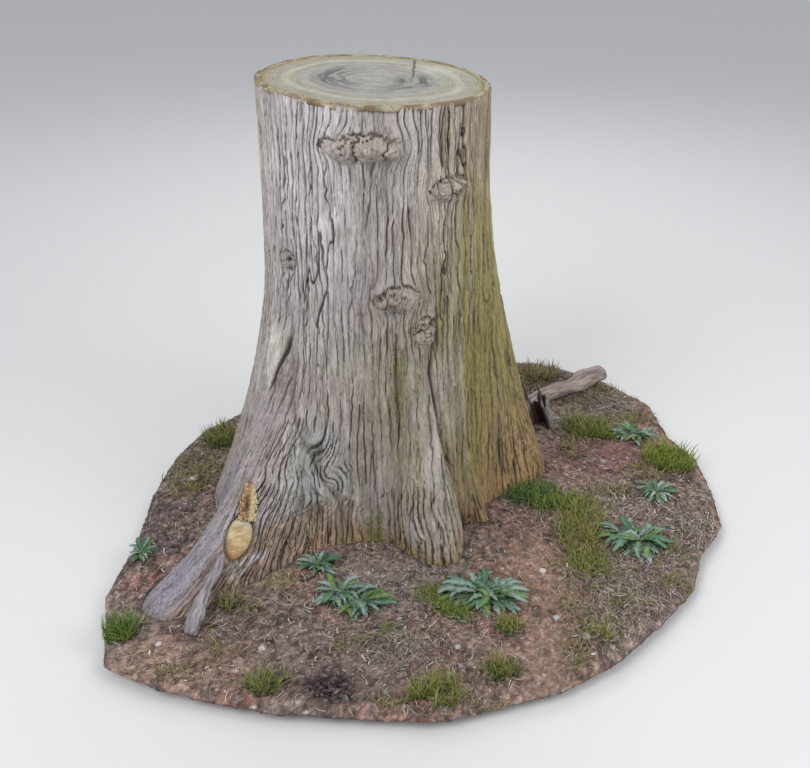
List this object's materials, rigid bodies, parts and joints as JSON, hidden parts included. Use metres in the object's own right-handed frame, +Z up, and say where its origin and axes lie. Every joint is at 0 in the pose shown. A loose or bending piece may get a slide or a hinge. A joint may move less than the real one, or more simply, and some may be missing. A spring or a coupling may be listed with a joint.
{
  "type": "tree stump",
  "caption": "Sawn tree stump with buttress roots and fibrous bark, standing in a cut-out patch of soil with grass, broad-leaved weeds and dry litter; no moving parts.",
  "frame": {"origin": "on the flat underside of the soil patch, on the axis of the trunk", "axes": "+Z up along the trunk; -Y is the front, the side with the front buttress root"},
  "size_m": [2.1037, 2.0574, 1.5254],
  "materials": {
    "bark": "matte",
    "charred_root": "matte",
    "dead_leaf": "matte",
    "dead_wood": "matte",
    "dry_grass": "matte",
    "grass": "matte",
    "heartwood": "matte",
    "knot_bark": "matte",
    "leaf": "matte",
    "loose_bark": "matte",
    "moss": "matte",
    "pale_root": "matte",
    "pebble": "matte",
    "root_bark": "matte",
    "rotten_wood": "matte",
    "sapwood": "matte",
    "sawn_wood": "matte",
    "soil": "matte",
    "twig": "matte"
  },
  "bodies": {
    "root": {"back_left_root": "root_bark", "back_right_root": "root_bark", "back_root": "root_bark", "bark_flap": "loose_bark", "branch_knot_left": "knot_bark", "branch_knot_lower": "knot_bark", "branch_knot_middle": "knot_bark", "branch_knot_right": "knot_bark", "branch_knot_upper": "knot_bark", "dead_root_strip": "dead_wood", "dead_root_stub": "charred_root", "dead_weed": "dead_leaf", "dry_twigs": "twig", "front_buttress_root": "root_bark", "front_right_root": "root_bark", "grass_back_right": "grass", "grass_by_stub": "grass", "grass_front_left": "grass", "grass_front_middle": "grass", "grass_front_right": "grass", "grass_front_rim": "grass", "grass_left_back": "grass", "grass_left_rim": "grass", "grass_left_root": "root_bark", "grass_right_rim": "grass", "grass_right_strip": "grass", "heartwood": "heartwood", "left_burl": "knot_bark", "left_buttress_root": "root_bark", "litter_back_right": "dry_grass", "litter_front": "dry_grass", "litter_right": "dry_grass", "litter_right_front": "dry_grass", "moss_foot": "moss", "moss_strip": "moss", "pebbles": "pebble", "right_buttress_root": "root_bark", "rosette_foot": "leaf", "rosette_front": "leaf", "rosette_front_right": "leaf", "rosette_left_rim": "leaf", "rosette_right": "leaf", "rosette_right_back": "leaf", "rosette_right_rim": "leaf", "rotten_limb_wood": "rotten_wood", "sapwood": "sapwood", "sawn_limb_face": "sawn_wood", "soil_patch": "soil", "surface_root": "pale_root", "trunk_bark": "bark"}
  },
  "joints": []
}
